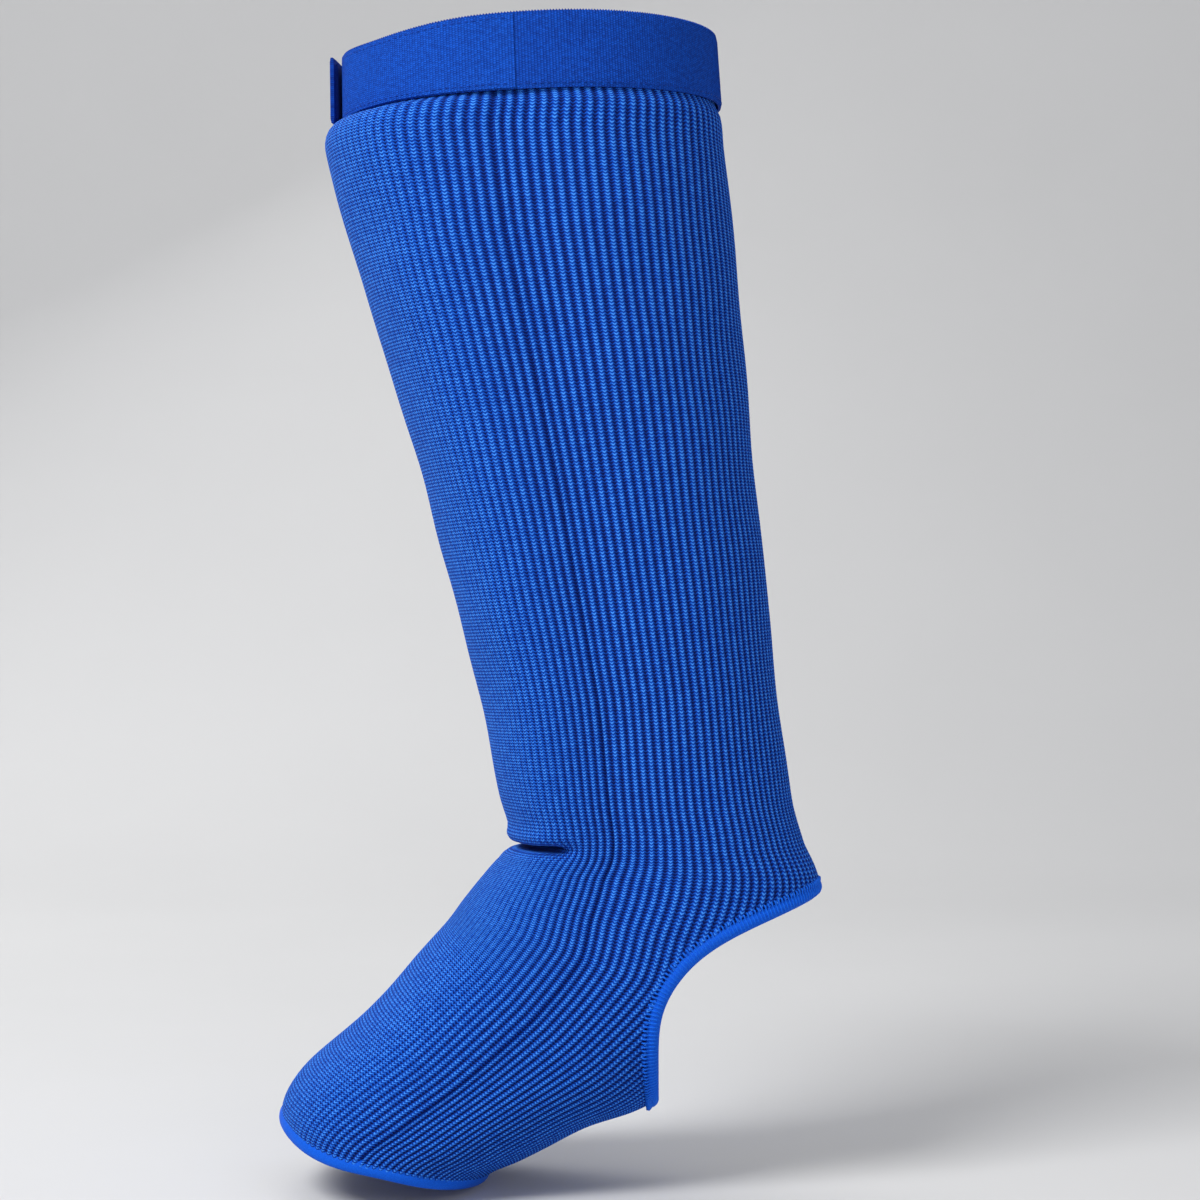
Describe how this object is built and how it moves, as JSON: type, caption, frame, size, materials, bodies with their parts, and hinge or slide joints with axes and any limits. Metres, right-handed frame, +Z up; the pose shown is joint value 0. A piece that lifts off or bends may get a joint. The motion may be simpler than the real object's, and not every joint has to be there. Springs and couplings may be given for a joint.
{
  "type": "shin and instep guard",
  "caption": "Slip-on rib-knit shin and instep guard with foam pads behind the knit, an elastic top band with a hook-and-loop strap, and bound heel and toe openings.",
  "frame": {"origin": "the ankle centre, where the foot part turns against the shin part", "axes": "+Z up the shin, -X to the shin and the toes, +X to the calf, +Y across to the right of a wearer facing -X; the XZ plane is the guard's mid-plane"},
  "size_m": [0.2026, 0.1226, 0.4224],
  "materials": {
    "rib_knit": "matte",
    "foam": "matte",
    "lining": "matte",
    "binding": "matte",
    "elastic_cord": "matte",
    "thread": "satin",
    "woven_elastic": "matte",
    "loop_pile": "matte",
    "hook_tape": "matte"
  },
  "bodies": {
    "shin": {"leg_sleeve": "rib_knit", "ankle_knit": "rib_knit", "shin_pad": "foam", "shin_lining": "lining", "heel_binding": "binding", "heel_overlock": "thread", "top_band": "woven_elastic", "strap_root": "woven_elastic", "loop_tape": "loop_pile", "band_seam_thread": "thread", "strap_root_thread": "thread", "loop_tape_thread": "thread", "shin_pocket_thread": "thread", "ankle_pocket_thread": "thread"},
    "foot": {"foot_sleeve": "rib_knit", "instep_pad": "foam", "instep_lining": "lining", "toe_binding": "binding", "toe_elastic": "elastic_cord", "instep_pocket_thread": "thread"},
    "tab": {"strap_tab": "woven_elastic", "hook_tape": "hook_tape", "hook_tape_thread": "thread"}
  },
  "joints": [
    {"name": "ankle_flex", "type": "hinge", "parent": "shin", "child": "foot", "pos_m": [0, 0, 0], "axis": [0, -1, 0], "range_deg": [-6, 35], "deforming": ["ankle_knit", "heel_binding", "heel_overlock", "ankle_pocket_thread"]},
    {"name": "tab_peel", "type": "hinge", "parent": "shin", "child": "tab", "pos_m": [-0.0845, 0.059, 0.289], "axis": [0, 0, -1], "range_deg": [0, 110]}
  ]
}
